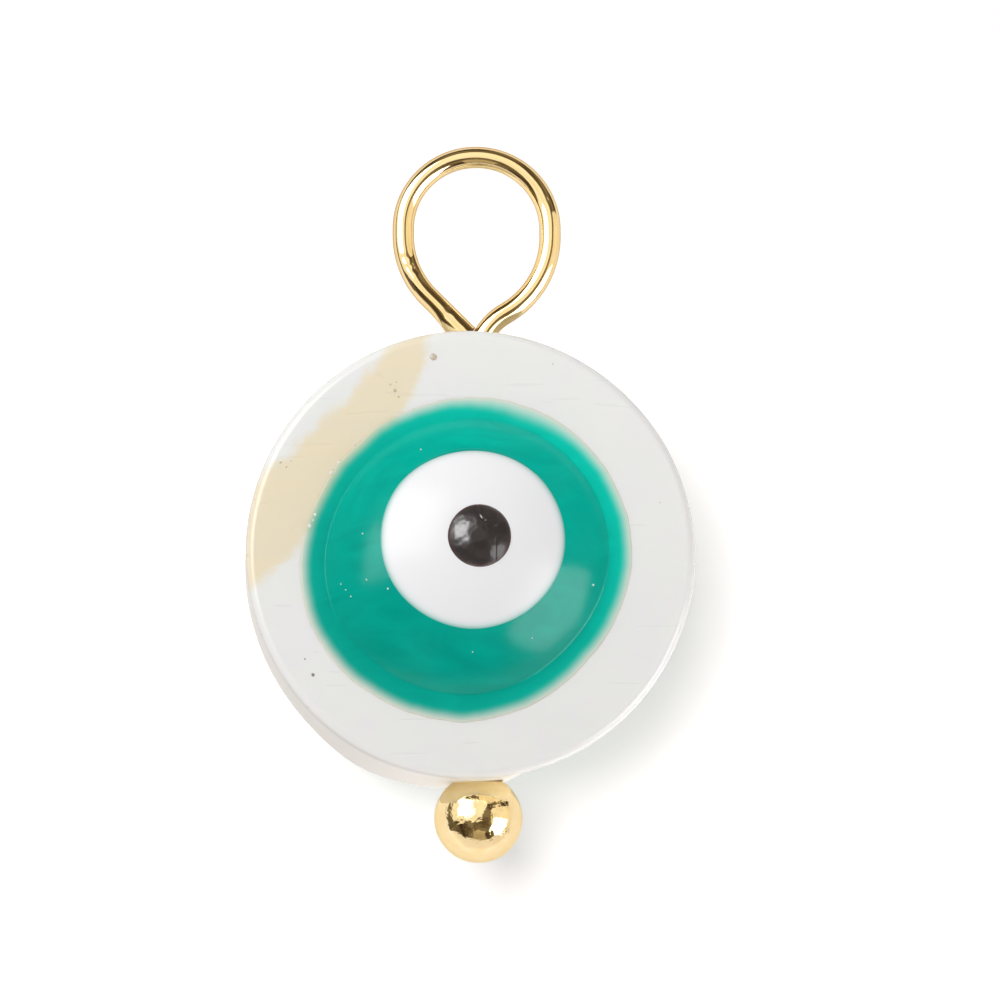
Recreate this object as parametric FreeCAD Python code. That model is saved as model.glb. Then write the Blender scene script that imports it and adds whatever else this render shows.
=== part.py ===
"""Evil eye charm: a drilled shell disc with an enamel eye on each face, threaded on a ball-head pin.

The frame hangs the way the charm is worn: +Z up, the front eye faces -Y, +X to the right.
The origin is the centre of the wire's hanging eye, and every length is in millimetres.
"""
import FreeCAD, Part
import math
import os

# --- driving dimensions --------------------------------------------------------------------------
WIRE_D = 0.50              # pin wire, 24 gauge
BALL_D = 2.00              # ball head brazed on the pin's foot
BALL_SOCKET = 0.60         # how far the wire runs into the ball

DISC_D = 10.10             # shell disc, a 10 mm bead cut a little full
DISC_T = 2.40
DISC_EDGE_R = 0.22         # tumbled round on both rims
DRILL_D = 0.70             # hole from edge to edge, a running fit on the wire
DRILL_MOUTH_D = 1.28       # 45 degree countersink at both ends of the hole
PIN_OFF_CENTRE = 0.20      # the hole lies this far to the right of the disc's middle
EYE_TO_DISC = 7.63         # hanging eye's centre down to the disc's middle
BALL_SEAT = 0.22           # the ball nests this far into the lower countersink

EYE_R = 1.67               # centre line of the wire over the top of the eye
EYE_SIDE = 0.17            # short straight run down each side of it
EYE_RIGHT_R = 2.06         # right flank, a little flatter than the top
EYE_LEFT_R = 2.00          # left flank
STEM_BEND_R = 1.30         # reverse bend where the stem leaves the hole
STEM_LEAN = 58.0           # degrees off vertical after that bend
TAIL_LEAN = 45.0           # degrees below horizontal, the wire's free tail
TAIL_LENGTH = 1.20
TAIL_CLEAR = 0.10          # the nipped tail stays this far off the shell

GREEN_D = 7.20             # enamel drops, measured where they meet the shell
GREEN_RISE = 1.30
WHITE_D = 4.06
WHITE_FLOOR = 0.75         # the white drop's underside, above the shell's face
PUPIL_D = 1.44
PUPIL_FLOOR = 1.05
PUPIL_RISE = 1.50          # top of the pupil, above the shell's face
PUPIL_SHOULDER = 1.27

# where each drop was set, right and up from the disc's middle as seen from its own side
FRONT_EYE = {"green": (-0.11, -0.13), "white": (0.00, 0.19), "pupil": (0.13, 0.19)}
BACK_EYE = {"green": (0.06, -0.05), "white": (-0.04, 0.10), "pupil": (-0.09, 0.13)}

# --- derived places ------------------------------------------------------------------------------
WIRE_R = WIRE_D / 2
BALL_R = BALL_D / 2
DISC_R = DISC_D / 2
FACE = DISC_T / 2
DISC_X = -PIN_OFF_CENTRE
DISC_Z = -EYE_TO_DISC
DISC_TOP = DISC_Z + DISC_R
BALL_Z = DISC_Z - DISC_R - BALL_R + BALL_SEAT

X = FreeCAD.Vector(1, 0, 0)
Y = FreeCAD.Vector(0, 1, 0)
Z = FreeCAD.Vector(0, 0, 1)


def in_plane(x, z):
    """A point in the plane of the hanging eye."""
    return FreeCAD.Vector(x, 0, z)


def on_arc(centre, radius, degrees):
    """The point of a circle about centre, degrees round from +X towards +Z."""
    turn = math.radians(degrees)
    return centre + in_plane(radius * math.cos(turn), radius * math.sin(turn))


def arc_edge(centre, radius, start, end):
    middle = on_arc(centre, radius, (start + end) / 2)
    return Part.Arc(on_arc(centre, radius, start), middle, on_arc(centre, radius, end)).toShape()


def line_edge(start, end):
    return Part.LineSegment(start, end).toShape()


def pin_wire():
    """The stem, from inside the ball up through the hole, and the eye bent at its top."""
    top = in_plane(0, 0)
    right = in_plane(EYE_R - EYE_RIGHT_R, -EYE_SIDE)
    left = in_plane(EYE_LEFT_R - EYE_R, -EYE_SIDE)
    right_start = on_arc(right, EYE_RIGHT_R, -STEM_LEAN)

    # The bend ends on the straight run that meets the right flank, which fixes its height.
    bend_end_x = STEM_BEND_R * (1 - math.cos(math.radians(STEM_LEAN)))
    run = (right_start.x - bend_end_x) / math.sin(math.radians(STEM_LEAN))
    bend_end_z = right_start.z - run * math.cos(math.radians(STEM_LEAN))
    bend_z = bend_end_z - STEM_BEND_R * math.sin(math.radians(STEM_LEAN))
    bend = in_plane(STEM_BEND_R, bend_z)
    foot = in_plane(0, BALL_Z + BALL_R - BALL_SOCKET)

    tail_from = 270 - TAIL_LEAN
    tail_start = on_arc(left, EYE_LEFT_R, tail_from)
    tail_end = on_arc(tail_start, TAIL_LENGTH, -TAIL_LEAN)

    path = Part.Wire([
        line_edge(foot, in_plane(0, bend_z)),
        arc_edge(bend, STEM_BEND_R, 180, 180 - STEM_LEAN),
        line_edge(in_plane(bend_end_x, bend_end_z), right_start),
        arc_edge(right, EYE_RIGHT_R, -STEM_LEAN, 0),
        line_edge(in_plane(EYE_R, -EYE_SIDE), in_plane(EYE_R, 0)),
        arc_edge(top, EYE_R, 0, 180),
        line_edge(in_plane(-EYE_R, 0), in_plane(-EYE_R, -EYE_SIDE)),
        arc_edge(left, EYE_LEFT_R, 180, tail_from),
        line_edge(tail_start, tail_end),
    ])
    section = Part.Wire([Part.makeCircle(WIRE_R, foot, Z)])
    wire = path.makePipeShell([section], True, True)

    # Side cutters nip the tail level, just above the shell.
    nip_top = DISC_TOP + TAIL_CLEAR
    nip = Part.makeBox(2 * WIRE_D, 2 * WIRE_D, 2 * WIRE_D,
                       FreeCAD.Vector(-0.6 * WIRE_D - 2 * WIRE_D, -WIRE_D, nip_top - 2 * WIRE_D))
    return wire.cut(nip)


def ball_head():
    """The brass ball, with the blind socket that the wire's foot is brazed into."""
    centre = in_plane(0, BALL_Z)
    ball = Part.makeSphere(BALL_R, centre)
    socket_floor = in_plane(0, BALL_Z + BALL_R - BALL_SOCKET)
    return ball.cut(Part.makeCylinder(WIRE_R, 2 * BALL_R, socket_floor, Z))


def shell_disc():
    """The flat round shell bead, drilled from its lower edge to its upper one."""
    middle_front = FreeCAD.Vector(DISC_X, -FACE, DISC_Z)
    disc = Part.makeCylinder(DISC_R, DISC_T, middle_front, Y)
    rims = [edge for edge in disc.Edges if edge.Closed]
    disc = disc.makeFillet(DISC_EDGE_R, rims)

    bore_foot = in_plane(0, DISC_Z - DISC_D)
    disc = disc.cut(Part.makeCylinder(DRILL_D / 2, 2 * DISC_D, bore_foot, Z))
    mouth_depth = (DRILL_MOUTH_D - DRILL_D) / 2
    flare = DRILL_MOUTH_D / 2 + mouth_depth
    for side in (-1, 1):
        inner = in_plane(0, DISC_Z + side * (DISC_R - mouth_depth))
        mouth = Part.makeCone(DRILL_D / 2, flare, 2 * mouth_depth, inner, Z * side)
        disc = disc.cut(mouth)
    return disc


def domed_drop(radius, floor, shoulder, top):
    """A drop of enamel about +Z: straight sides from floor to shoulder, then a dome to top."""
    rise = top - shoulder
    dome_r = (radius ** 2 + rise ** 2) / (2 * rise)
    flank = math.asin(radius / dome_r) / 2
    halfway = in_plane(dome_r * math.sin(flank), top - dome_r * (1 - math.cos(flank)))
    outline = [Part.Arc(in_plane(0, top), halfway, in_plane(radius, shoulder)).toShape()]
    if shoulder > floor:
        outline.append(line_edge(in_plane(radius, shoulder), in_plane(radius, floor)))
    outline.append(line_edge(in_plane(radius, floor), in_plane(0, floor)))
    outline.append(line_edge(in_plane(0, floor), in_plane(0, top)))
    return Part.Face(Part.Wire(outline)).revolve(in_plane(0, 0), Z, 360)


def set_on_face(drop, place, side):
    """Stand a drop made about +Z on the shell's front (side -1) or back (side 1) face."""
    placed = drop.copy()
    placed.rotate(in_plane(0, 0), X, 90)
    if side > 0:
        placed.rotate(in_plane(0, 0), Z, 180)
    placed.translate(FreeCAD.Vector(DISC_X - side * place[0], side * FACE, DISC_Z + place[1]))
    return placed


def enamel_eye(places, side):
    """The green, white and pupil drops of one face. Each is poured into the one below it."""
    green = set_on_face(domed_drop(GREEN_D / 2, 0, 0, GREEN_RISE), places["green"], side)
    white_column = Part.makeCylinder(WHITE_D / 2, GREEN_RISE, in_plane(0, WHITE_FLOOR), Z)
    white_column = set_on_face(white_column, places["white"], side)
    pupil = domed_drop(PUPIL_D / 2, PUPIL_FLOOR, PUPIL_SHOULDER, PUPIL_RISE)
    pupil = set_on_face(pupil, places["pupil"], side)
    white = green.common(white_column).cut(pupil)
    return {"green": green.cut(white_column), "white": white, "pupil": pupil}


def main():
    os.makedirs("parts", exist_ok=True)
    nodes = {"pin_wire": pin_wire(), "ball_head": ball_head(), "shell_disc": shell_disc()}
    for name, places, side in (("front", FRONT_EYE, -1), ("back", BACK_EYE, 1)):
        for colour, drop in enamel_eye(places, side).items():
            nodes[f"{name}_{colour}_enamel"] = drop
    for name, shape in nodes.items():
        solid = shape.Solids[0] if len(shape.Solids) == 1 else shape
        solid.exportStep(f"parts/{name}.step")
        print(name, len(shape.Solids), "solid", shape.isValid(), f"{shape.Volume:.3f} mm3", solid.BoundBox)


main()
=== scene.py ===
import math

import bpy
import numpy as np
from mathutils import Matrix, Vector, noise


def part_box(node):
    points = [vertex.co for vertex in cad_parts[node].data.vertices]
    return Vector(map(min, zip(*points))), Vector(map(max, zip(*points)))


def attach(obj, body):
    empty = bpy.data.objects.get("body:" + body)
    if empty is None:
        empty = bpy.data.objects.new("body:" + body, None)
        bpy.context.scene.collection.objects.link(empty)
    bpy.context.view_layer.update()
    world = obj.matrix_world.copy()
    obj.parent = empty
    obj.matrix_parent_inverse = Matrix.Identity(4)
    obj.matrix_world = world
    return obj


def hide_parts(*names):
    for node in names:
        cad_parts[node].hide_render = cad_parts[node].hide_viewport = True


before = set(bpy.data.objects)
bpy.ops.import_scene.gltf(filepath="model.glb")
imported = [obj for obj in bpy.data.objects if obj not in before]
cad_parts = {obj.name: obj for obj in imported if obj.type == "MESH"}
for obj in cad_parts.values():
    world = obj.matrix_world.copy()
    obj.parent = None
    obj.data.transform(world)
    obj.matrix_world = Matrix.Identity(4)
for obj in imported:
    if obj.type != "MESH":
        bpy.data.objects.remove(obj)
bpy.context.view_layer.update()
scene = bpy.context.scene

MM = 0.001                 # every length below is in millimetres; meshes are made in metres
FRONT, BACK = -1, 1        # the two faces of the bead, by the sign of y that they look along

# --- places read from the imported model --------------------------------
def node_box(node):
    """A CAD node's lowest and highest corners at rest, in millimetres."""
    low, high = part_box(node)
    return np.array(low) / MM, np.array(high) / MM


def round_node(node):
    """Middle x, middle z and radius of a node that is round as seen from the front."""
    low, high = node_box(node)
    return (low[0] + high[0]) / 2, (low[2] + high[2]) / 2, (high[0] - low[0]) / 2


DISC_X, DISC_Z, DISC_R = round_node("shell_disc")
FACE = node_box("shell_disc")[1][1]                       # half the shell's thickness
BALL_R = node_box("ball_head")[1][0]
BALL_Z = node_box("ball_head")[0][2] + BALL_R
WIRE_R = node_box("pin_wire")[1][1]
WIRE_FOOT = node_box("pin_wire")[0][2]
DISC_TOP = DISC_Z + DISC_R

# --- driving dimensions of the looks, in millimetres and degrees ------
EYE_R = 1.67               # the hanging eye: the same bends as the CAD wire
EYE_SIDE = 0.17
EYE_RIGHT_R = 2.06
EYE_LEFT_R = 2.00
STEM_BEND_R = 1.30
STEM_LEAN = 58.0
TAIL_LEAN = 45.0
TAIL_LENGTH = 1.20
TAIL_END_ABOVE_SHELL = 0.10
TAIL_FACET = 1.05          # the side cutters' flat starts this far before the tail's end

DISC_EDGE_R = 0.22
DRILL_R = 0.35
DRILL_MOUTH_R = 0.64

DOME_R = 4.50              # how tightly the green drop is curved at its top
DOME_FOOT = (3.07, 3.09)   # from here to here the dome turns into the thin flat foot round it
GREEN_LIP = 0.012          # the green drop's edge stands this far off the shell
EDGE_BAND = 0.62           # width of its finely ringed foot
WHITE_PROUD = 0.012        # the white drop's skin stands this far off the green one's
PUPIL_DOME_R = 1.50        # how tightly the pupil's own drop is curved

CAMERA_AZIMUTH, CAMERA_ELEVATION = -2.9, -9.3
CAMERA_LENS, CAMERA_SENSOR = 200.0, 36.0
VIEW_WIDTH = 22.57         # what the frame shows across, in the plane of the wire
VIEW_CENTRE = (0.51, 0.0, -6.24)
VIEW_ROLL = 0.2


# --- small helpers ----------------------------------------------------
def smoothstep(low, high, value):
    t = np.clip((value - low) / (high - low), 0.0, 1.0)
    return t * t * (3 - 2 * t)


def lumps(points, size, seed):
    """Smooth noise in about -1..1 at each row of points, with features about size across."""
    shift = Vector((seed * 7.31, seed * -3.17, seed * 1.93))
    return np.array([noise.noise(Vector(point) / size + shift) for point in points])


def on_face(side, u, v, h):
    """World millimetres of points u right, v up and h above a face, as seen from its own side."""
    u, v, h = np.broadcast_arrays(u, v, h)
    return np.stack([DISC_X - side * u, side * (FACE + h), DISC_Z + v], axis=-1)


def new_object(name, points, faces):
    """A mesh object from millimetre points."""
    mesh = bpy.data.meshes.new(name)
    mesh.from_pydata([tuple(point) for point in np.asarray(points) * MM], [], faces)
    made = bpy.data.objects.new(name, mesh)
    scene.collection.objects.link(made)
    return made


def mesh_piece(name, points, faces, body, replaced, material):
    """A smooth-shaded piece from millimetre points, riding on a body in place of CAD nodes."""
    piece = new_object(name, points, faces)
    piece.data.validate()
    piece.data.shade_smooth()
    piece.data.materials.append(material)
    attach(piece, body)
    if replaced:
        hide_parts(*replaced)
    return piece


def put_attribute(piece, name, values):
    attribute = piece.data.attributes.new(name, "FLOAT", "POINT")
    attribute.data.foreach_set("value", np.asarray(values, dtype=np.float32))


def ring_faces(rings, around, flip=False, first=0):
    """Quads between consecutive rings of points, each closed on itself."""
    faces = []
    for ring in range(rings - 1):
        for step in range(around):
            a = first + ring * around + step
            b = first + ring * around + (step + 1) % around
            quad = (a, b, b + around, a + around)
            faces.append(quad[::-1] if flip else quad)
    return faces


def fan_faces(centre, first, around, flip=False):
    """Triangles from a centre point to one ring."""
    faces = []
    for step in range(around):
        face = (centre, first + step, first + (step + 1) % around)
        faces.append(face[::-1] if flip else face)
    return faces


# --- material helpers -------------------------------------------------
class Nodes:
    """A material's node tree, with short calls for the few kinds of node used here."""

    def __init__(self, name):
        self.material = bpy.data.materials.new(name)
        self.material.use_nodes = True
        self.tree = self.material.node_tree
        self.shader = self.tree.nodes["Principled BSDF"]
        self.output = self.tree.nodes["Material Output"]

    def add(self, kind, **settings):
        node = self.tree.nodes.new(kind)
        for key, value in settings.items():
            setattr(node, key, value)
        return node

    def feed(self, value, socket):
        if hasattr(value, "is_linked"):
            self.tree.links.new(value, socket)
        else:
            socket.default_value = value

    def math(self, operation, *values):
        node = self.add("ShaderNodeMath", operation=operation)
        for value, socket in zip(values, node.inputs):
            self.feed(value, socket)
        return node.outputs[0]

    def mix(self, factor, first, second, blend="MIX"):
        node = self.add("ShaderNodeMix", data_type="RGBA", blend_type=blend)
        self.feed(factor, node.inputs[0])
        self.feed(first, node.inputs[6])
        self.feed(second, node.inputs[7])
        return node.outputs[2]

    def place(self, scale=(1, 1, 1), turn=(0, 0, 0)):
        """The piece's own coordinates in millimetres, stretched by scale and turned."""
        mapping = self.add("ShaderNodeMapping")
        mapping.inputs["Scale"].default_value = [s / MM for s in scale]
        mapping.inputs["Rotation"].default_value = [math.radians(a) for a in turn]
        self.tree.links.new(self.add("ShaderNodeTexCoord").outputs["Object"], mapping.inputs[0])
        return mapping.outputs[0]

    def noise(self, place, scale=1.0, detail=2.0, roughness=0.5, distortion=0.0):
        node = self.add("ShaderNodeTexNoise")
        self.tree.links.new(place, node.inputs["Vector"])
        for key, value in (("Scale", scale), ("Detail", detail), ("Roughness", roughness),
                           ("Distortion", distortion)):
            node.inputs[key].default_value = value
        return node.outputs["Fac"]

    def coordinate(self, axis):
        """One of the piece's own coordinates in millimetres: 0, 1 or 2 for x, y or z."""
        split = self.add("ShaderNodeSeparateXYZ")
        self.feed(self.place(), split.inputs[0])
        return split.outputs[axis]

    def fading(self, value, rate=1.0):
        """1 where the value is 0, falling towards 0 as it grows."""
        return self.math("EXPONENT", self.math("MULTIPLY", value, -rate))

    def grey(self, value):
        node = self.add("ShaderNodeCombineColor")
        for socket in node.inputs[:3]:
            self.feed(value, socket)
        return node.outputs[0]

    def attribute(self, name):
        return self.add("ShaderNodeAttribute", attribute_name=name).outputs["Fac"]

    def rescale(self, value, low, high, to_low=0.0, to_high=1.0, smooth=False):
        node = self.add("ShaderNodeMapRange")
        node.interpolation_type = "SMOOTHSTEP" if smooth else "LINEAR"
        for number, source in enumerate((value, low, high, to_low, to_high)):
            self.feed(source, node.inputs[number])
        return node.outputs[0]

    def bump(self, height, depth, strength=1.0, below=None):
        """A bump whose height 0..1 stands for depth millimetres."""
        node = self.add("ShaderNodeBump")
        node.inputs["Strength"].default_value = strength
        node.inputs["Distance"].default_value = depth * MM
        self.feed(height, node.inputs["Height"])
        if below is not None:
            self.feed(below, node.inputs["Normal"])
        return node.outputs[0]

    def set(self, **values):
        names = {"colour": "Base Color", "roughness": "Roughness", "metal": "Metallic",
                 "normal": "Normal", "ior": "IOR", "coat": "Coat Weight",
                 "coat_roughness": "Coat Roughness", "sss": "Subsurface Weight",
                 "sss_radius": "Subsurface Radius", "sss_scale": "Subsurface Scale",
                 "specular": "Specular IOR Level", "tint": "Specular Tint"}
        for key, value in values.items():
            self.feed(value, self.shader.inputs[names[key]])
        return self.material


def shell_colour(n):
    """Freshwater shell: cool white clouds, growth lines and one band of its beige outer layer, with
    painted shade making it darker towards the bottom.
    """
    clouds = n.noise(n.place(), 0.45, 3.0, 0.55, 0.4)
    tint = n.noise(n.place(turn=(0, 40, 0)), 0.8, 2.0, 0.5, 0.8)
    white = n.mix(clouds, (0.83, 0.845, 0.825, 1), (0.875, 0.865, 0.83, 1))
    white = n.mix(n.rescale(tint, 0.45, 0.75), white, (0.86, 0.84, 0.85, 1))
    lines = n.noise(n.place((0.3, 1.2, 4.0), (0, 7, 0)), 1.0, 3.0, 0.6, 0.8)
    white = n.mix(n.rescale(lines, 0.50, 0.75, 0.0, 0.05), white, (0.78, 0.775, 0.74, 1))

    # painted shade: the shell's colour is lighter at the top and darker towards the bottom, as the light
    # falls from above
    grow = n.rescale(n.coordinate(2), DISC_Z - DISC_R, DISC_Z + DISC_R, 0.955, 1.03)
    wander = n.noise(n.place(), 1.9, 6.0, 0.68)
    stray = n.math("MULTIPLY", n.math("SUBTRACT", wander, 0.5), 0.62)
    shifted = n.math("ADD", n.attribute("beige"), stray)
    grain = n.noise(n.place((0.6, 1, 2.0)), 1.1, 3.0)
    beige = n.mix(grain, (0.875, 0.755, 0.535, 1), (0.83, 0.76, 0.60, 1))
    stain = n.noise(n.place(), 2.6, 4.0, 0.7)
    beige = n.mix(n.rescale(stain, 0.60, 0.80, 0.0, 0.5), beige, (0.74, 0.58, 0.40, 1))
    layered = n.mix(n.rescale(shifted, -0.13, 0.17, smooth=True), white, beige)
    return n.mix(1.0, layered, n.grey(grow), blend="MULTIPLY")


def shell_material():
    """Polished shell, whose cut wall is rougher and has painted shade in its darker colour, and whose
    rounded rim carries a thin grey line of painted shade.
    """
    n = Nodes("freshwater_shell")
    silk = n.noise(n.place((0.5, 2.0, 6.0), (0, 7, 0)), 1.0, 1.5, 0.5, 0.3)
    pores = n.noise(n.place(), 14.0, 2.0, 0.5)
    wall = n.attribute("wall")
    relief = n.bump(pores, 0.0015, 0.3)
    rough = n.math("MAXIMUM", n.rescale(silk, 0.3, 0.7, 0.27, 0.33), n.math("MULTIPLY", wall, 0.7))
    # painted shade: the cut wall is coloured darker grey than the faces
    colour = n.mix(n.math("MULTIPLY", wall, 0.9), shell_colour(n), (0.60, 0.58, 0.535, 1))
    # painted shade: a thin grey line along the rounded rim
    colour = n.mix(n.attribute("painted_rim_shade"), colour, (0.36, 0.36, 0.345, 1))
    return n.set(colour=colour, roughness=rough, normal=relief, ior=1.53,
                 sss=0.25, sss_radius=(1.0, 0.9, 0.8), sss_scale=0.25 * MM, coat=0.2,
                 coat_roughness=0.15)


def green_material():
    """Green enamel, deep over the dome and thinning to clear over the shell at its foot."""
    n = Nodes("green_enamel")
    swirl = n.noise(n.place(turn=(0, 25, 0), scale=(0.6, 1, 1.5)), 0.9, 3.0, 0.5, 1.6)
    deep = n.mix(n.rescale(swirl, 0.35, 0.7), (0.0, 0.325, 0.250, 1), (0.0, 0.390, 0.300, 1))
    thin = (0.0, 0.50, 0.38, 1)
    depth = n.attribute("enamel_depth")
    body = n.mix(n.fading(depth, 2.2), deep, thin)
    cover = n.math("SUBTRACT", 1.0, n.fading(n.attribute("enamel_tint")))
    # painted light and shade: the green is darker towards the bottom, lighter towards the top, and
    # lighter towards +x
    painted_light_from_above = n.rescale(n.coordinate(2), DISC_Z - 3.4, DISC_Z + 3.0, 0.80, 1.12)
    across = n.rescale(n.coordinate(0), DISC_X - 3.4, DISC_X + 3.4, 0.95, 1.27)
    body = n.mix(1.0, body, n.grey(n.math("MULTIPLY", painted_light_from_above, across)), blend="MULTIPLY")
    # painted shade: a darker olive line along the thin edge of the drop
    painted_lip_shade = n.math("MULTIPLY", n.fading(depth, 6.5), 0.60)
    under = n.mix(painted_lip_shade, shell_colour(n), (0.66, 0.62, 0.45, 1))
    colour = n.mix(cover, under, body)
    ripple = n.bump(n.noise(n.place(), 1.3, 3.0, 0.55), 0.010, 0.6)
    grain = n.bump(n.noise(n.place(), 22.0, 2.0, 0.6), 0.0008, 0.5, ripple)
    rough = n.rescale(depth, 0.35, 0.70, 0.26, 0.16)
    return n.set(colour=colour, roughness=rough, normal=grain, ior=1.50, specular=0.20)


def white_material():
    """White enamel whose rim is veiled by the green that laps over it, with painted shade making it
    darker towards the bottom.
    """
    n = Nodes("white_enamel")
    veil = n.math("SUBTRACT", 1.0, n.fading(n.attribute("veil")))
    cloud = n.mix(n.noise(n.place(), 0.7, 2.0), (0.87, 0.87, 0.882, 1), (0.89, 0.888, 0.898, 1))
    # painted shade: the white is lighter at the top and darker towards the bottom
    painted_light_from_above = n.rescale(n.coordinate(2), DISC_Z - 1.6, DISC_Z + 2.0, 0.955, 1.04)
    cloud = n.mix(1.0, cloud, n.grey(painted_light_from_above), blend="MULTIPLY")
    colour = n.mix(veil, cloud, (0.0, 0.40, 0.31, 1))
    ripple = n.bump(n.noise(n.place(), 1.5, 3.0, 0.5), 0.006, 0.5)
    return n.set(colour=colour, roughness=0.26, normal=ripple, ior=1.50, specular=0.25, sss=0.15,
                 sss_radius=(1.0, 1.0, 1.0), sss_scale=0.1 * MM)


def black_material():
    """Black enamel, brownish where it is thin and wrinkled where its skin dried first."""
    n = Nodes("black_enamel")
    edge = n.attribute("rim")
    mottle = n.noise(n.place(), 5.0, 4.0, 0.65, 0.6)
    core = n.mix(mottle, (0.014, 0.012, 0.014, 1), (0.042, 0.035, 0.038, 1))
    colour = n.mix(edge, core, (0.060, 0.022, 0.020, 1))
    skin = n.bump(n.noise(n.place((1.0, 1.0, 0.6), (0, 30, 0)), 5.5, 5.0, 0.65, 0.8), 0.008, 0.6)
    return n.set(colour=colour, roughness=0.30, normal=skin, ior=1.52, specular=1.0, coat=1.0,
                 coat_roughness=0.17)


def gold_material(name, dent_size, dent_depth, brush, edge, pits):
    """Bright gold plating: drawn or tumbled relief and pits, with painted shade making its hollows
    darker.
    """
    n = Nodes(name)
    dents = n.noise(n.place(), 1.0 / dent_size, 3.0, 0.55, 0.3)
    fine = n.noise(n.place(), 6.0 / dent_size, 3.0, 0.6)
    # painted shade: the plating's colour is darker in the hollows of its dents
    colour = n.mix(n.rescale(dents, 0.3, 0.75), (0.86, 0.68, 0.35, 1), (0.91, 0.755, 0.45, 1))
    relief = n.bump(dents, dent_depth, 1.0)
    relief = n.bump(n.noise(n.place(), 2.2 / dent_size, 1.5, 0.5, 0.8), pits, 1.0, relief)
    relief = n.bump(fine, dent_depth * 0.06, 0.8, relief)
    rough = n.rescale(fine, 0.3, 0.7, brush * 0.7, brush * 1.3)
    return n.set(colour=colour, metal=1.0, roughness=rough, normal=relief, tint=edge)


def fleck_material(name, colour, roughness):
    """A speck's tone, mottled and a little rough; for the bubbles and lip glints it is a painted glint.
    """
    n = Nodes(name)
    shade = n.mix(n.noise(n.place(), 20.0, 2.0), [c * 0.75 for c in colour] + [1], list(colour) + [1])
    grain = n.bump(n.noise(n.place(), 30.0, 2.0), 0.002, 0.6)
    return n.set(colour=shade, roughness=roughness, normal=grain)


# --- the wire ---------------------------------------------------------
def arc_points(centre, radius, start, end, step):
    """Points round an arc in the eye's plane, and each one's direction, without the last."""
    count = max(2, round(abs(math.radians(end - start)) * radius / step))
    turns = np.radians(np.linspace(start, end, count, endpoint=False))
    points = np.stack([centre[0] + radius * np.cos(turns), centre[1] + radius * np.sin(turns)], axis=1)
    ways = np.stack([-np.sin(turns), np.cos(turns)], axis=1) * np.sign(end - start)
    return points, ways


def line_points(start, end, step, last=False):
    start, end = np.array(start, float), np.array(end, float)
    count = max(2, round(np.linalg.norm(end - start) / step))
    points = np.linspace(start, end, count + 1)[: count + (1 if last else 0)]
    way = (end - start) / np.linalg.norm(end - start)
    return points, np.repeat(way[None], len(points), axis=0)


def right_flank_start():
    """Where the stem's slanting run meets the eye's right flank."""
    lean = math.radians(STEM_LEAN)
    return EYE_R - EYE_RIGHT_R + EYE_RIGHT_R * math.cos(lean), -EYE_SIDE - EYE_RIGHT_R * math.sin(lean)


def bend_height():
    """The height at which the stem starts to bend out of line with the drilled hole."""
    lean = math.radians(STEM_LEAN)
    x, z = right_flank_start()
    run = (x - STEM_BEND_R * (1 - math.cos(lean))) / math.sin(lean)
    return z - run * math.cos(lean) - STEM_BEND_R * math.sin(lean)


def wire_route():
    """The wire's centre line as (x, z) points and directions, from its foot to its tail's end."""
    lean = math.radians(STEM_LEAN)
    right, left = (EYE_R - EYE_RIGHT_R, -EYE_SIDE), (EYE_LEFT_R - EYE_R, -EYE_SIDE)
    right_start = right_flank_start()
    bend_z = bend_height()
    bend_end_x = STEM_BEND_R * (1 - math.cos(lean))
    bend_end_z = bend_z + STEM_BEND_R * math.sin(lean)
    tail_from = 270 - TAIL_LEAN
    turn, droop = math.radians(tail_from), math.radians(TAIL_LEAN)
    tail = (left[0] + EYE_LEFT_R * math.cos(turn), left[1] + EYE_LEFT_R * math.sin(turn))
    end = (tail[0] + TAIL_LENGTH * math.cos(droop), tail[1] - TAIL_LENGTH * math.sin(droop))
    stretches = [
        line_points((0, WIRE_FOOT), (0, bend_z), 0.15),
        arc_points((STEM_BEND_R, bend_z), STEM_BEND_R, 180, 180 - STEM_LEAN, 0.03),
        line_points((bend_end_x, bend_end_z), right_start, 0.04),
        arc_points(right, EYE_RIGHT_R, -STEM_LEAN, 0, 0.04),
        line_points((EYE_R, -EYE_SIDE), (EYE_R, 0), 0.04),
        arc_points((0, 0), EYE_R, 0, 180, 0.04),
        line_points((-EYE_R, 0), (-EYE_R, -EYE_SIDE), 0.04),
        arc_points(left, EYE_LEFT_R, 180, tail_from, 0.03),
        line_points(tail, end, 0.03, last=True),
    ]
    return np.concatenate([s[0] for s in stretches]), np.concatenate([s[1] for s in stretches])


def press_dents(points):
    """Press the pliers' dents into the front of the wire."""
    dents = ((-1.58, -0.72, 0.10, 0.018), (-1.53, -0.92, 0.08, 0.016), (-1.42, -1.02, 0.09, 0.014),
             (-0.62, -1.98, 0.12, 0.012), (1.62, 0.56, 0.16, 0.008))
    for x, z, size, depth in dents:
        gap = np.linalg.norm(points - np.array([x, -WIRE_R, z]), axis=-1)
        points[..., 1] += depth * np.exp(-(gap / size) ** 2)


def spread_tail(points, angle, to_end, left):
    """Spread the tail as the cutters do: its lower, outer side opens into a flat that faces down."""
    spread = smoothstep(0.0, 1.0, (TAIL_FACET - to_end) / TAIL_FACET)[:, None]
    outward = np.clip(-np.cos(angle), 0, 1) ** 1.5 * np.clip(0.6 + np.sin(angle), 0, 1)
    grow = 0.15 * spread * outward
    points[..., 0] -= grow * left[:, 0, None]
    points[..., 2] -= grow * left[:, 1, None]


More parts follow.
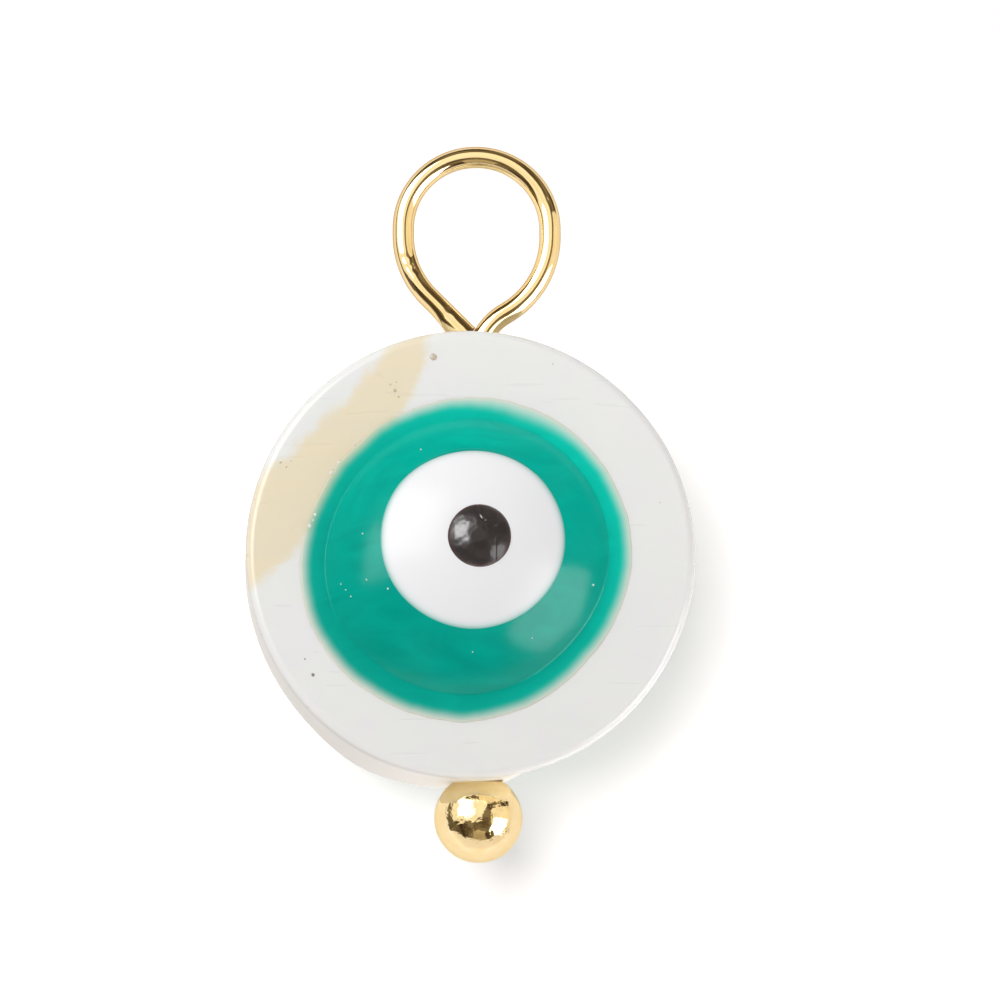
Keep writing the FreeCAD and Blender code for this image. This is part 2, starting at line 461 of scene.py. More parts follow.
def lean_tail(points, to_end, way):
    """Lean the cut end against the stem's bend, and nip its underside level above the shell."""
    bend = np.array([STEM_BEND_R, bend_height()])
    gap = points[-1][:, [0, 2]] - bend
    along_way = gap @ way
    reach = STEM_BEND_R + WIRE_R + 0.004
    chord = np.sqrt(np.maximum(along_way ** 2 - (gap ** 2).sum(axis=1) + reach ** 2, 0))
    share = smoothstep(0.45, 0.0, to_end)[:, None] * (-along_way - chord)
    points[..., 0] += share * way[0]
    points[..., 2] += share * way[1]
    tail = to_end < 1.5
    points[tail, :, 2] = np.maximum(points[tail, :, 2], DISC_TOP + TAIL_END_ABOVE_SHELL)


def wire_piece(material):
    """The drawn wire, with the pliers' dents on the left of its eye and its cut, flattened tail."""
    around = 40
    centres, ways = wire_route()
    steps = np.linalg.norm(np.diff(centres, axis=0), axis=1)
    along = np.concatenate([[0.0], np.cumsum(steps)])
    to_end = along[-1] - along
    turns = np.linspace(0, 2 * math.pi, around, endpoint=False)
    left = np.stack([-ways[:, 1], ways[:, 0]], axis=1)      # inward, towards the eye's middle

    s, angle = np.meshgrid(along, turns, indexing="ij")
    radius = np.full_like(s, WIRE_R - 0.006)
    radius += 0.0022 * np.cos(3 * angle + 0.35 * s) + 0.0016 * np.cos(7 * angle - 0.6 * s + 1.0)
    inward, frontward = radius * np.cos(angle), radius * np.sin(angle)
    x = centres[:, 0, None] + inward * left[:, 0, None]
    z = centres[:, 1, None] + inward * left[:, 1, None]
    points = np.stack([x, -frontward, z], axis=-1)

    press_dents(points)
    spread_tail(points, angle, to_end, left)
    lean_tail(points, to_end, ways[-1])

    rings = len(centres)
    flat = list(points.reshape(-1, 3))
    faces = ring_faces(rings, around, flip=True)
    flat.append(np.array([0, 0, WIRE_FOOT]))
    flat.append(points[-1].mean(axis=0))
    faces += fan_faces(rings * around, 0, around)
    faces += fan_faces(rings * around + 1, (rings - 1) * around, around, flip=True)
    return mesh_piece("eye_pin_wire", flat, faces, "headpin", ["pin_wire"],
                      material)


# --- the ball ---------------------------------------------------------
def ball_piece(material):
    """The ball, a little dented by tumbling, with the brazed collar where the wire enters it."""
    around = 144
    collar_r, collar_rise = WIRE_R + 0.012, 0.05
    neck = math.asin((WIRE_R + 0.09) / BALL_R)
    profile = [(0.0, -BALL_R)]
    for turn in np.linspace(0, math.pi - neck, 96)[1:]:
        profile.append((BALL_R * math.sin(turn), -BALL_R * math.cos(turn)))
    shoulder_r, shoulder_z = profile[-1]
    for t in np.linspace(0, 1, 7)[1:]:
        ease = 1 - math.cos(t * math.pi / 2)
        profile.append((shoulder_r + (collar_r - shoulder_r) * math.sin(t * math.pi / 2),
                        shoulder_z + collar_rise * ease))
    profile.append((collar_r, WIRE_FOOT - BALL_Z))
    turns = np.linspace(0, 2 * math.pi, around, endpoint=False)
    rings = np.array(profile[1:])
    points = np.stack([rings[:, 0, None] * np.cos(turns), rings[:, 0, None] * np.sin(turns),
                       np.repeat(rings[:, 1, None], around, axis=1)], axis=-1).reshape(-1, 3)
    ways = points / np.linalg.norm(points, axis=1)[:, None]
    skin = 0.0050 * lumps(ways, 0.30, 3) + 0.0024 * lumps(ways, 0.12, 5) - 0.007
    onball = np.linalg.norm(points, axis=1) > BALL_R - 0.001
    points[onball] += ways[onball] * skin[onball, None]
    points[:, 2] += BALL_Z
    flat = list(points) + [np.array([0, 0, BALL_Z - BALL_R + 0.004]), np.array([0, 0, WIRE_FOOT])]
    count = len(rings)
    faces = ring_faces(count, around)
    faces += fan_faces(count * around, 0, around, flip=True)
    faces += fan_faces(count * around + 1, (count - 1) * around, around)
    return mesh_piece("ball_end", flat, faces, "headpin", ["ball_head"], material)


# --- the shell bead ---------------------------------------------------
# The beige layer lies between these two lines of the front face, in millimetres from its middle.
BEIGE_OUTER = [(-1.2, 5.4), (-1.8, 4.64), (-2.5, 3.95), (-2.72, 3.5), (-3.5, 2.88), (-4.2, 2.15),
               (-5.3, 1.3)]
BEIGE_INNER = [(-0.75, 5.4), (-1.06, 4.37), (-1.17, 3.7), (-1.7, 2.9), (-2.9, 1.2), (-4.0, -0.1),
               (-5.4, -1.3)]


def side_of_line(u, v, line):
    """Signed distance from a bent line, positive on its left as it runs from first to last point."""
    best = np.full(u.shape, 1e9)
    signed = np.zeros(u.shape)
    for (u0, v0), (u1, v1) in zip(line[:-1], line[1:]):
        du, dv = u1 - u0, v1 - v0
        t = np.clip(((u - u0) * du + (v - v0) * dv) / (du * du + dv * dv), 0, 1)
        gap = np.hypot(u - u0 - t * du, v - v0 - t * dv)
        side = np.sign(du * (v - v0) - dv * (u - u0))
        signed = np.where(gap < best, side * gap, signed)
        best = np.minimum(best, gap)
    return signed


def beige_layer(points):
    """How far inside the beige layer points of the shell lie. The layer leans through the bead."""
    depth = points[:, 1] + FACE
    u = points[:, 0] - DISC_X + 0.22 * depth
    v = points[:, 2] - DISC_Z + 0.10 * depth
    return np.minimum(side_of_line(u, v, BEIGE_OUTER), -side_of_line(u, v, BEIGE_INNER))


def disc_profile():
    """Half section of the disc as (radius, y), from the front's middle round to the back's."""
    corner = DISC_R - DISC_EDGE_R
    wall_end = FACE - DISC_EDGE_R
    front = [(r, -FACE) for r in np.linspace(0, corner, 44)[1:]]
    for turn in np.radians(np.linspace(0, 90, 9)[1:]):
        front.append((corner + DISC_EDGE_R * math.sin(turn), -wall_end - DISC_EDGE_R * math.cos(turn)))
    wall = [(DISC_R, y) for y in np.linspace(-wall_end, wall_end, 14)[1:-1]]
    back = [(r, -y) for r, y in front[::-1]]
    return np.array(front + wall + back)


def bore_cutter():
    """The drill's shape: a plain bore that opens into a cone at each end."""
    around = 64
    mouth = DRILL_MOUTH_R - DRILL_R
    reach = 0.3
    profile = [(DRILL_MOUTH_R + reach, -DISC_R - reach), (DRILL_R, -DISC_R + mouth)]
    profile += [(r, -z) for r, z in profile[::-1]]
    turns = np.linspace(0, 2 * math.pi, around, endpoint=False)
    points = [(r * math.cos(t), r * math.sin(t), DISC_Z + z) for r, z in profile for t in turns]
    points += [(0, 0, DISC_Z - DISC_R - reach), (0, 0, DISC_Z + DISC_R + reach)]
    faces = ring_faces(4, around)
    faces += fan_faces(4 * around, 0, around, flip=True)
    faces += fan_faces(4 * around + 1, 3 * around, around)
    return new_object("bore", points, faces)


def drill(piece):
    """Cut the bore out of the disc and keep the edges of the cut crisp."""
    cutter = bore_cutter()
    cut = piece.modifiers.new("bore", "BOOLEAN")
    cut.operation, cut.solver, cut.object = "DIFFERENCE", "EXACT", cutter
    bpy.context.view_layer.update()
    drilled = bpy.data.meshes.new_from_object(piece.evaluated_get(bpy.context.evaluated_depsgraph_get()))
    piece.modifiers.clear()
    plain, piece.data = piece.data, drilled
    bpy.data.meshes.remove(plain)
    bpy.data.objects.remove(cutter)
    piece.data.set_sharp_from_angle(angle=math.radians(35))


def hand_cut(degrees, depth):
    """How far the rim stands off a true cylinder: a slight oval that leans in at the lower right."""
    turn = np.radians(degrees)
    oval = 0.02 * np.cos(2 * turn - math.pi) + 0.006 * np.cos(3 * turn + 0.7)
    oval = oval + 0.004 * np.cos(5 * turn - 1.9)
    behind = (depth + FACE) / (2 * FACE)
    bulge = 0.11 * np.exp(-((degrees - 243) / 14) ** 2)
    right_side = smoothstep(274, 288, degrees) - smoothstep(330, 359, degrees)
    return oval + behind * (bulge - 0.26 * right_side)


def shell_piece(material):
    """The drilled shell bead: flat, softly waved faces, rounded rims and a hand-cut outline."""
    around = 288
    section = disc_profile()
    turns = np.linspace(0, 2 * math.pi, around, endpoint=False)
    radius, turn = np.meshgrid(section[:, 0], turns, indexing="ij")
    depth = np.repeat(section[:, 1, None], around, axis=1)
    radius = radius + hand_cut(np.degrees(turn) % 360, depth) * smoothstep(3.5, 4.8, radius)
    points = np.stack([DISC_X + radius * np.cos(turn), depth, DISC_Z + radius * np.sin(turn)], axis=-1)
    points = points.reshape(-1, 3)
    wave = np.abs(points[:, 1]) > FACE - 1e-6
    points[wave, 1] -= np.sign(points[wave, 1]) * 0.006 * (1 + lumps(points[wave], 2.4, 11))
    rings = len(section)
    middles = [np.array([DISC_X, side * (FACE - 0.006), DISC_Z]) for side in (FRONT, BACK)]
    flat = list(points) + middles
    faces = ring_faces(rings, around)
    faces += fan_faces(rings * around, 0, around, flip=True)
    faces += fan_faces(rings * around + 1, (rings - 1) * around, around)
    piece = mesh_piece("shell_bead", flat, faces, "bead", ["shell_disc"], material)
    drill(piece)
    places = vertex_points(piece)
    put_attribute(piece, "beige", beige_layer(places))
    out = np.hypot(places[:, 0] - DISC_X, places[:, 2] - DISC_Z)
    put_attribute(piece, "wall", smoothstep(FACE - 0.10, FACE - 0.24, np.abs(places[:, 1])))
    # painted shade: where the thin grey line along the rounded rim is painted
    rim = np.exp(-((np.abs(places[:, 1]) - FACE + 0.155) / 0.065) ** 2) * (out > DISC_R - 0.5)
    put_attribute(piece, "painted_rim_shade", 0.5 * rim)
    return piece


def vertex_points(piece):
    """A piece's vertices, in millimetres."""
    flat = np.zeros(len(piece.data.vertices) * 3)
    piece.data.vertices.foreach_get("co", flat)
    return flat.reshape(-1, 3) / MM


# --- the enamel eyes --------------------------------------------------
class Eye:
    """One face's three drops, measured right and up from the disc's middle as that face is seen."""

    def __init__(self, side, prefix, waves, soft_edge, seed):
        self.side, self.prefix, self.seed = side, prefix, seed
        self.waves, self.soft_edge = waves, soft_edge
        self.green = self.middle("green")
        self.white = self.middle("white")
        self.pupil = self.middle("pupil")
        self.green_r = round_node(f"{prefix}_green_enamel")[2]
        self.white_r = round_node(f"{prefix}_white_enamel")[2]
        self.pupil_r = round_node(f"{prefix}_pupil_enamel")[2]
        self.top = self.reach("white")
        self.pupil_top = self.reach("pupil")
        self.make_profile()

    def middle(self, drop):
        x, z, _ = round_node(f"{self.prefix}_{drop}_enamel")
        return np.array([self.side * (DISC_X - x), z - DISC_Z])

    def reach(self, drop):
        """How far a drop stands off the shell's face."""
        low, high = node_box(f"{self.prefix}_{drop}_enamel")
        return max(-low[1], high[1]) - FACE

    def outline(self, turn):
        """The green drop's outer edge: a hand-poured round, in millimetres from its middle."""
        edge = self.green_r + 0.06
        for count, size, phase in self.waves:
            edge = edge + size * np.cos(count * turn - math.radians(phase))
        return edge

    def polar(self, u, v):
        du, dv = u - self.green[0], v - self.green[1]
        return np.hypot(du, dv), np.arctan2(dv, du)

    def make_profile(self):
        """The drop's height against its share of the way out: a round top that flares at its foot."""
        self.share = np.linspace(0, 1, 400)
        r = self.share * self.green_r
        foot = smoothstep(*DOME_FOOT, r)
        slope = r / np.sqrt(DOME_R ** 2 - r ** 2) * (1 - foot) + (0.16 - 0.03 * r) * foot
        fall = np.concatenate([[0.0], np.cumsum((slope[1:] + slope[:-1]) / 2 * np.diff(r))])
        self.height = (fall[-1] - fall) * self.top / fall[-1]

    def dome(self, u, v):
        """Height of the green drop's skin above the shell's face."""
        radius, turn = self.polar(u, v)
        near = np.clip(1 - (radius / self.outline(turn)) ** 2, 0, 1)
        apex = 0.6 * (self.white - self.green)
        radius, turn = self.polar(u - near * apex[0], v - near * apex[1])
        return np.interp(radius / self.outline(turn), self.share, self.height)

    def closed_drop(self, drop, skin, middle, under_r, crown, floor, material):
        """A drop's piece: rings of skin up to its crown, closed by a flat underside at its floor."""
        around = skin.shape[1]
        turns = np.linspace(0, 2 * math.pi, around, endpoint=False)
        under = on_face(self.side, middle[0] + under_r * np.cos(turns),
                        middle[1] + under_r * np.sin(turns), floor)
        ends = on_face(self.side, middle[0], middle[1], np.array([crown, floor]))
        points = np.concatenate([skin.reshape(-1, 3), under, ends])
        rings = len(skin) + 1
        flip = self.side == BACK
        faces = ring_faces(rings, around, flip=not flip)
        faces += fan_faces(rings * around, 0, around, flip=flip)
        faces += fan_faces(rings * around + 1, (rings - 1) * around, around, flip=not flip)
        return mesh_piece(f"{self.prefix}_{drop}_drop", points, faces, "bead",
                          [f"{self.prefix}_{drop}_enamel"], material)

    def green_piece(self, material):
        """The green drop: a dome whose thin, uneven foot thins to clear over the shell."""
        around = 400
        inner = np.linspace(0, 1, 34)[1:-1] * 3.1
        gaps = np.concatenate([np.linspace(EDGE_BAND, 0.06, 29), [0.035, 0.015, 0.004, 0.0]])
        turns = np.linspace(0, 2 * math.pi, around, endpoint=False)
        edge = self.outline(turns)
        way = np.stack([np.cos(turns), np.sin(turns), turns * 0], axis=1)
        edge = edge + 0.028 * lumps(way, 0.22, self.seed) + 0.014 * lumps(way, 0.07, self.seed + 1)
        spread = (edge - EDGE_BAND) / (edge.mean() - EDGE_BAND)
        radii = np.concatenate([inner[:, None] * spread, edge - gaps[:, None]])
        u = self.green[0] + radii * np.cos(turns)
        v = self.green[1] + radii * np.sin(turns)
        gap = edge - radii
        height = self.dome(u, v) + GREEN_LIP * (1 - np.exp(-gap / 0.02))
        flat_uv = np.stack([u.ravel(), v.ravel(), np.full(u.size, float(self.seed))], axis=1)
        relief = lumps(flat_uv, 1.5, self.seed + 1).reshape(u.shape)
        height = height + 0.010 * relief * smoothstep(0.2, 1.2, gap)
        height[-1] = -0.004
        crown = float(self.dome(*self.green)) + GREEN_LIP
        piece = self.closed_drop("green", on_face(self.side, u, v, height), self.green, 0.97 * edge,
                                 crown, -0.02, material)
        gap_of = np.concatenate([gap.ravel(), np.zeros(around), [2.0, 0.0]])
        turn_of = np.concatenate([np.tile(turns, len(radii) + 1), [0.0, 0.0]])
        middle, width, gain = self.soft_edge
        away = np.abs((np.degrees(turn_of) - middle + 180) % 360 - 180)
        softer = 1 + gain * np.exp(-(away / width) ** 2)
        inward = gap_of / softer
        tint = 4.9 * inward + 0.085 * (np.exp(np.minimum(14.0 * inward, 12)) - 1)
        put_attribute(piece, "enamel_tint", np.minimum(tint, 12))
        put_attribute(piece, "enamel_depth", gap_of)
        put_attribute(piece, "beige", beige_layer(vertex_points(piece)))
        return piece

    def white_piece(self, material):
        """The white drop lies level in the green one, and sinks under it at its rim."""
        around = 240
        sunk = self.white_r + 0.07
        radii = np.concatenate([np.linspace(0.08, 1.7, 22), np.linspace(1.74, sunk, 16)])
        turns = np.linspace(0, 2 * math.pi, around, endpoint=False)
        wobble = 1 + 0.006 * np.cos(2 * turns - 0.4) + 0.003 * np.cos(5 * turns + 1.1)
        r = radii[:, None] * wobble
        u = self.white[0] + r * np.cos(turns)
        v = self.white[1] + r * np.sin(turns)
        proud = GREEN_LIP + WHITE_PROUD - 0.05 * smoothstep(self.white_r - 0.02, sunk, radii)[:, None]
        skin = on_face(self.side, u, v, self.dome(u, v) + proud)
        crown = float(self.dome(*self.white)) + GREEN_LIP + WHITE_PROUD
        piece = self.closed_drop("white", skin, self.white, 0.97 * sunk, crown, self.top - 0.55,
                                 material)
        inside = np.concatenate([np.repeat(sunk - radii, around), np.zeros(around), [2.0, 0.0]])
        put_attribute(piece, "veil", 5.5 * np.exp(-inside / 0.045))
        return piece

    def pupil_skin(self, u, v):
        """Height of the pupil's skin above the white: a tight drop with a wrinkled top."""
        r = np.hypot(u - self.pupil[0], v - self.pupil[1]) / self.pupil_r
        cap = np.sqrt(PUPIL_DOME_R ** 2 - (self.pupil_r * np.minimum(r, 1)) ** 2)
        cap = cap - math.sqrt(PUPIL_DOME_R ** 2 - self.pupil_r ** 2)
        return cap + 0.035 * np.sqrt(np.clip(1 - r ** 6, 0, 1)) - 0.02

    def pupil_piece(self, material):
        """The black drop, wrinkled and cracked where its skin dried first."""
        around = 160
        radii = np.concatenate([np.linspace(0.03, 0.90, 30), np.linspace(0.915, 1.0, 10)])
        turns = np.linspace(0, 2 * math.pi, around, endpoint=False)
        wobble = 1 - 0.012 + 0.010 * np.cos(2 * turns - 2.2) + 0.006 * np.cos(3 * turns + self.seed)
        r = self.pupil_r * radii[:, None] * wobble
        u = self.pupil[0] + r * np.cos(turns)
        v = self.pupil[1] + r * np.sin(turns)
        uv = np.stack([u.ravel(), v.ravel(), np.full(u.size, 0.5 * self.seed)], axis=1)
        calm = smoothstep(1.0, 0.8, radii)[:, None]
        wrinkles = 0.009 * lumps(uv, 0.22, self.seed + 4) + 0.004 * lumps(uv, 0.09, self.seed + 6)
        height = self.dome(u, v) + GREEN_LIP + WHITE_PROUD + self.pupil_skin(u, v)
        height = height + wrinkles.reshape(u.shape) * calm
        for line, depth in self.cracks():
            gap = np.abs(side_of_line(u.ravel(), v.ravel(), line)).reshape(u.shape)
            height = height - depth * np.exp(-(gap / 0.016) ** 2)
        height = np.minimum(height, self.pupil_top - 0.001)
        height[-1] = self.dome(u[-1], v[-1]) - 0.03
        piece = self.closed_drop("pupil", on_face(self.side, u, v, height), self.pupil,
                                 0.95 * self.pupil_r, float(height[0].mean()), self.pupil_top - 0.4,
                                 material)
        rim = np.repeat(smoothstep(0.86, 1.0, radii), around)
        put_attribute(piece, "rim", np.concatenate([rim, np.ones(around), [0.0, 1.0]]))
        return piece

    def cracks(self):
        """Fine cracks in the pupil's skin, each a bent line and its depth."""
        u, v = self.pupil
        mirror = -1 if self.side == BACK else 1
        lines = [([(-0.03, 0.68), (-0.02, 0.45), (0.03, 0.36), (0.10, 0.32)], 0.020),
                 ([(0.10, 0.32), (0.34, 0.21)], 0.028),
                 ([(0.34, 0.21), (0.39, 0.09), (0.35, -0.25), (0.35, -0.59)], 0.012)]
        return [([(u + mirror * a, v + b) for a, b in line], depth) for line, depth in lines]


# --- specks and bubbles -----------------------------------------------
# Right and up from the disc's middle, then the radius, all in millimetres.
DARK_SPECKS = [(-3.53, -2.76, 0.040), (-3.70, -2.41, 0.018)]
BROWN_SPECKS = [(-1.71, 3.67, 0.040), (-1.62, 3.52, 0.024), (-1.80, 3.80, 0.022),
                (-1.66, 3.86, 0.016), (-4.12, 1.92, 0.022), (-4.02, 2.06, 0.016),
                (-4.26, 2.02, 0.026), (-0.85, 4.42, 0.080), (1.85, 4.29, 0.016),
                (4.24, 1.15, 0.014)]
BUBBLES = [(-2.44, 0.32, 0.026), (-2.35, -0.72, 0.020), (-1.88, -0.95, 0.024), (-1.13, 2.24, 0.020),
           (2.71, -0.75, 0.026), (0.00, -2.32, 0.018), (1.32, -1.99, 0.018), (-2.91, -0.77, 0.018),
           (-2.69, -1.06, 0.020), (-2.80, -0.90, 0.016), (-0.86, 4.45, 0.034)]
LIP_GLINTS = [(-3.13, 1.79, 0.045), (-2.95, 2.02, 0.034), (-3.60, 0.57, 0.045), (-3.47, 0.84, 0.038),
              (-3.52, 0.72, 0.026), (-2.60, 2.44, 0.024), (-3.05, 1.91, 0.022)]


def speck_piece(name, eye, specks, rise, material):
    """Small squashed lumps with uneven outlines, each sunk a little into the skin under it."""
    around, rings = 12, 4
    turns = np.linspace(0, 2 * math.pi, around, endpoint=False)
    points, faces = [], []
    for number, (u, v, radius) in enumerate(specks):
        way = np.stack([np.cos(turns), np.sin(turns), turns * 0 + number * 1.7], axis=1)
        uneven = radius * (1 + 0.35 * lumps(way, 0.8, 21)) * (1 + 0.3 * np.cos(turns - number))
        height = float(eye.dome(u, v))
        skin = height - 0.004 + 0.014 * min(1.0, height / 0.05)
        first = len(points)
        for ring in range(rings):
            tilt = math.radians(90 * (1 - ring / rings))
            out = uneven * math.sin(tilt)
            up = skin + rise * radius * math.cos(tilt) - 0.012 * (ring == 0)
            points += list(on_face(eye.side, u + out * np.cos(turns), v + out * np.sin(turns), up))
        points += list(on_face(eye.side, u, v, np.array([skin + rise * radius, skin - 0.014])))
        top = first + rings * around
        flip = eye.side == BACK
        faces += ring_faces(rings, around, flip=flip, first=first)
        faces += fan_faces(top, first + (rings - 1) * around, around, flip=flip)
        faces += fan_faces(top + 1, first, around, flip=not flip)
    return mesh_piece(name, points, faces, "bead", None, material)


# --- camera, lights and stage -----------------------------------------
def camera_axes():
    """Right, up and backward unit vectors of the photograph's view."""
    turn, tilt = math.radians(CAMERA_AZIMUTH), math.radians(CAMERA_ELEVATION)
    back = Vector((math.sin(turn) * math.cos(tilt), -math.cos(turn) * math.cos(tilt), math.sin(tilt)))
    right = Vector((math.cos(turn), math.sin(turn), 0))
    up = back.cross(right)
    roll = math.radians(VIEW_ROLL)
    rolled_right = right * math.cos(roll) - up * math.sin(roll)
    rolled_up = up * math.cos(roll) + right * math.sin(roll)
    return rolled_right, rolled_up, back


def make_camera():
    """The camera, as far off as its lens needs to show VIEW_WIDTH across the frame."""
    right, up, back = camera_axes()
    data = bpy.data.cameras.new("camera")
    data.lens, data.sensor_width = CAMERA_LENS, CAMERA_SENSOR
    distance = VIEW_WIDTH * CAMERA_LENS / CAMERA_SENSOR * MM
    data.clip_start, data.clip_end = 0.01, 10.0
    camera = bpy.data.objects.new("camera", data)
    scene.collection.objects.link(camera)
    facing = Matrix((right, up, back)).transposed().to_4x4()
    camera.matrix_world = Matrix.Translation(Vector(VIEW_CENTRE) * MM + back * distance) @ facing
    scene.camera = camera


def mirrored_from(across, up):
    """The way to a light that a ball mirrors where its skin faces across and up to the camera."""
    facing = math.sqrt(1 - across ** 2 - up ** 2)
    return 2 * facing * across, 2 * facing * up, 2 * facing ** 2 - 1


def softbox(name, way, spread, radiance, only, lights=True, mirrors=True, tint=(1, 1, 1),
            away=300, tall=1.0):
    """A soft light for one group of pieces, which it lights, is mirrored in, or both.

    It lies away millimetres off along its way in the camera's axes, and reaches spread degrees to
    each side of it. It is tall times as high as it is wide.
    """
    distance = away * MM
    right, up, back = camera_axes()
    direction = (right * way[0] + up * way[1] + back * way[2]).normalized()
    data = bpy.data.lights.new(name, "AREA")
    data.shape = "RECTANGLE"
    data.size = 2 * distance * math.tan(math.radians(spread))
    data.size_y = tall * data.size
    data.energy = radiance * math.pi * data.size * data.size_y
    data.color = tint
    light = bpy.data.objects.new(name, data)
    scene.collection.objects.link(light)
    light.location = Vector((DISC_X, 0, DISC_Z)) * MM + direction * distance
    light.rotation_mode = "QUATERNION"
    light.rotation_quaternion = direction.to_track_quat("Z", "Y")
    light.visible_camera = False
    light.visible_diffuse = lights
    light.visible_glossy = mirrors
    light.light_linking.receiver_collection = only
    return light


def lit_group(name, pieces):
    """A collection of the only pieces that a light shines on."""
    group = bpy.data.collections.new(name)
    for piece in pieces:
        group.objects.link(piece)
    return group


def make_lights(paper, gold_pieces, bead_pieces):
    """Soft boxes for the charm, a light for its shadow on the paper, and cards for the gold alone."""
    ball_pieces = gold_pieces[1:]
    everything = gold_pieces + bead_pieces
    greens = [piece for piece in bead_pieces if "green" in piece.name]
    pupils = [piece for piece in bead_pieces if "pupil" in piece.name]
    gold = lit_group("gold_pieces", gold_pieces)
    ball = lit_group("ball", ball_pieces)
    bead = lit_group("bead_pieces", bead_pieces)
    charm = lit_group("charm_pieces", everything)
    green = lit_group("green_pieces", greens)
    pupil = lit_group("pupils", pupils)
    no_greens = lit_group("all_but_greens", [piece for piece in everything if piece not in greens])
    no_pupils = lit_group("all_but_pupils", [piece for piece in everything if piece not in pupils])

    main, second = mirrored_from(-0.29, 0.27), mirrored_from(0.46, -0.18)
    softbox("main_softbox", main, 20, 5.1, no_greens)
    softbox("main_on_green", main, 20, 5.1, green, mirrors=False, away=280)
    softbox("green_mirrored", mirrored_from(-0.38, 0.15), 10, 3.2, green, lights=False, away=260,
            tall=1.7)
    softbox("second_softbox", second, 19, 2.15, charm, mirrors=False)
    softbox("second_mirrored", second, 19, 4.6, no_pupils, lights=False, away=250)
    softbox("second_on_pupils", second, 16, 1.5, pupil, lights=False, away=230)

    on_paper = lit_group("paper", [paper])
    shadow = softbox("shadow_light", (-0.12, 0.16, 0.98), 8, 23.0, on_paper, mirrors=False)
    shadow.light_linking.blocker_collection = lit_group("shadow_casters", ball_pieces + bead_pieces)
    under = softbox("under_light", (0.62, -0.66, -0.42), 25, 4.2, bead, mirrors=False)
    under.light_linking.blocker_collection = bead

    cards = (("main_card", (-0.26, 0.22), 44, 1.00, gold, (1.0, 0.96, 0.88), 0.6),
             ("right_card", (0.57, 0.04), 35, 0.90, gold, (1.0, 0.92, 0.76), 0.65),
             ("low_card", (0.02, -0.36), 14, 0.42, gold, (1.0, 0.86, 0.60), 1.0),
             ("high_card", (0.30, 0.54), 33, 0.88, ball, (1.0, 0.88, 0.64), 0.55),
             ("room_card", (0.11, 0.17), 60, 0.05, gold, (1.0, 0.70, 0.42), 1.0))
    for name, shows_at, spread, radiance, only, tint, tall in cards:
        softbox(name, mirrored_from(*shows_at), spread, radiance, only, lights=False, tint=tint,
                tall=tall)


def stage_material():
    """Matt pale paper, seen from its front only, so that the views from behind look through it."""
    n = Nodes("pale_paper")
    fibres = n.noise(n.place(), 2.0, 3.0, 0.6)
    colour = n.mix(fibres, (0.90, 0.88, 0.875, 1), (0.93, 0.91, 0.905, 1))
    n.set(colour=colour, roughness=0.9, specular=0.1)
    n.shader.inputs["Emission Color"].default_value = (1.0, 0.90, 0.90, 1)
    n.shader.inputs["Emission Strength"].default_value = 0.31
    clear = n.add("ShaderNodeBsdfTransparent")
    choose = n.add("ShaderNodeMixShader")
    n.feed(n.add("ShaderNodeNewGeometry").outputs["Backfacing"], choose.inputs[0])
    n.feed(n.shader.outputs[0], choose.inputs[1])
    n.feed(clear.outputs[0], choose.inputs[2])
    n.feed(choose.outputs[0], n.output.inputs[0])
    return n.material


def make_stage():
    """A pale board behind the charm that sweeps forward into the floor under it."""
    behind, floor_z, sweep_r = 5.55, -62.0, 8.0
    half_width, top, front = 110.0, 90.0, -24.0
    profile = [(behind, top), (behind, floor_z + sweep_r)]
    for turn in np.radians(np.linspace(0, 90, 13)[1:-1]):
        profile.append((behind - sweep_r * (1 - math.cos(turn)),
                        floor_z + sweep_r * (1 - math.sin(turn))))
    profile += [(behind - sweep_r, floor_z), (front, floor_z)]
    points = [(x, y, z) for y, z in profile for x in (-half_width, half_width)]
    faces = [(2 * i, 2 * i + 2, 2 * i + 3, 2 * i + 1) for i in range(len(profile) - 1)]
    floor = new_object("pale_floor", points, faces)
    floor.data.shade_smooth()
    floor.data.materials.append(stage_material())
    return floor


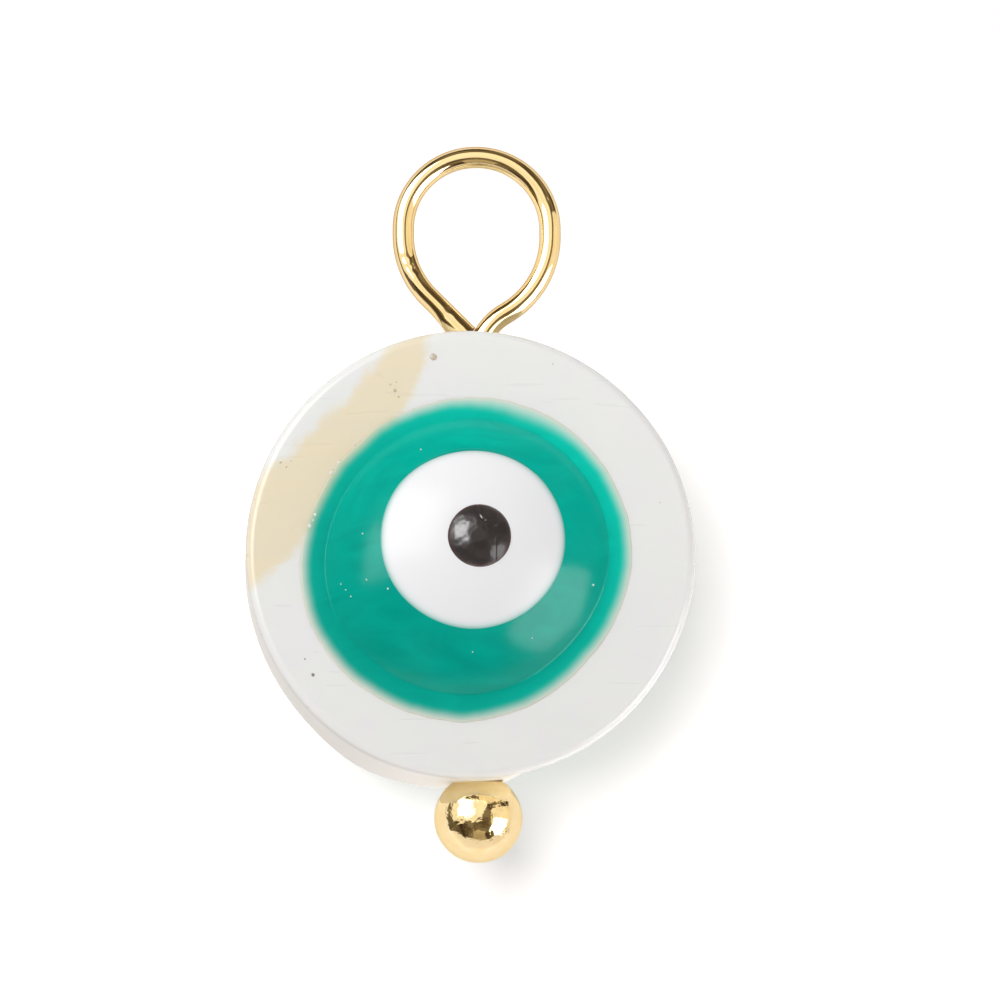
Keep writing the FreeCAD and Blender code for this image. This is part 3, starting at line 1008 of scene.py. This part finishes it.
def make_world():
    """A pale backdrop to look at, a dim studio to reflect and an even fill to light with."""
    world = bpy.data.worlds.new("studio")
    scene.world = world
    world.use_nodes = True
    tree = world.node_tree
    tree.nodes.clear()
    link = tree.links.new
    ways = tree.nodes.new("ShaderNodeTexCoord").outputs["Generated"]

    room = tree.nodes.new("ShaderNodeTexNoise")
    room.inputs["Scale"].default_value = 2.6
    room.inputs["Detail"].default_value = 3.0
    link(ways, room.inputs["Vector"])
    ramp = tree.nodes.new("ShaderNodeValToRGB")
    dim, lit = ramp.color_ramp.elements
    dim.position, dim.color = 0.42, (0.05, 0.035, 0.02, 1)
    lit.position, lit.color = 0.60, (0.22, 0.18, 0.12, 1)
    link(room.outputs["Fac"], ramp.inputs[0])
    seen, mirrored, fill = (tree.nodes.new("ShaderNodeBackground") for _ in range(3))
    seen.inputs[0].default_value = (0.93, 0.93, 0.925, 1)
    link(ramp.outputs[0], mirrored.inputs[0])
    fill.inputs[0].default_value = (0.30, 0.30, 0.30, 1)
    path = tree.nodes.new("ShaderNodeLightPath")
    glossy, camera = (tree.nodes.new("ShaderNodeMixShader") for _ in range(2))
    link(path.outputs["Is Glossy Ray"], glossy.inputs[0])
    link(fill.outputs[0], glossy.inputs[1])
    link(mirrored.outputs[0], glossy.inputs[2])
    link(path.outputs["Is Camera Ray"], camera.inputs[0])
    link(glossy.outputs[0], camera.inputs[1])
    link(seen.outputs[0], camera.inputs[2])
    output = tree.nodes.new("ShaderNodeOutputWorld")
    link(camera.outputs[0], output.inputs[0])


def make_object():
    """Every piece of the charm: those of the gold pin, and those of the bead that spins on it."""
    wire = wire_piece(gold_material("gold_wire", 0.9, 0.004, 0.07, (0.50, 0.34, 0.22, 1), 0.0020))
    ball = ball_piece(gold_material("gold_ball", 0.26, 0.0085, 0.055, (0.80, 0.73, 0.60, 1), 0.0050))
    bead = [shell_piece(shell_material())]
    green, white, black = green_material(), white_material(), black_material()
    front = Eye(FRONT, "front", [(2, 0.098, 77), (4, 0.021, 33), (5, 0.012, -52)], (68, 18, 0.5), 2)
    back = Eye(BACK, "back", [(2, 0.060, 15), (3, 0.035, 140), (5, 0.014, 60)], (200, 30, 0.6), 9)
    for eye in (front, back):
        bead += [eye.green_piece(green), eye.white_piece(white), eye.pupil_piece(black)]
    grey = fleck_material("dark_speck", (0.30, 0.29, 0.26), 0.5)
    brown = fleck_material("brown_speck", (0.70, 0.58, 0.42), 0.5)
    # painted glints: the bubbles and the lip lumps are coloured pale for the light they catch
    bubble = fleck_material("bubble_glint", (0.70, 0.88, 0.82), 0.2)
    glint = fleck_material("lip_glint", (0.97, 0.97, 0.92), 0.15)
    bead += [
        speck_piece("dark_specks", front, DARK_SPECKS, 0.4, grey),
        speck_piece("brown_specks", front, BROWN_SPECKS, 0.3, brown),
        speck_piece("enamel_bubbles", front, BUBBLES, 0.9, bubble),
        speck_piece("lip_glints", front, LIP_GLINTS, 0.7, glint),
    ]
    return [wire, ball], bead


make_camera()
make_world()
make_lights(make_stage(), *make_object())
scene.view_settings.view_transform = "Standard"
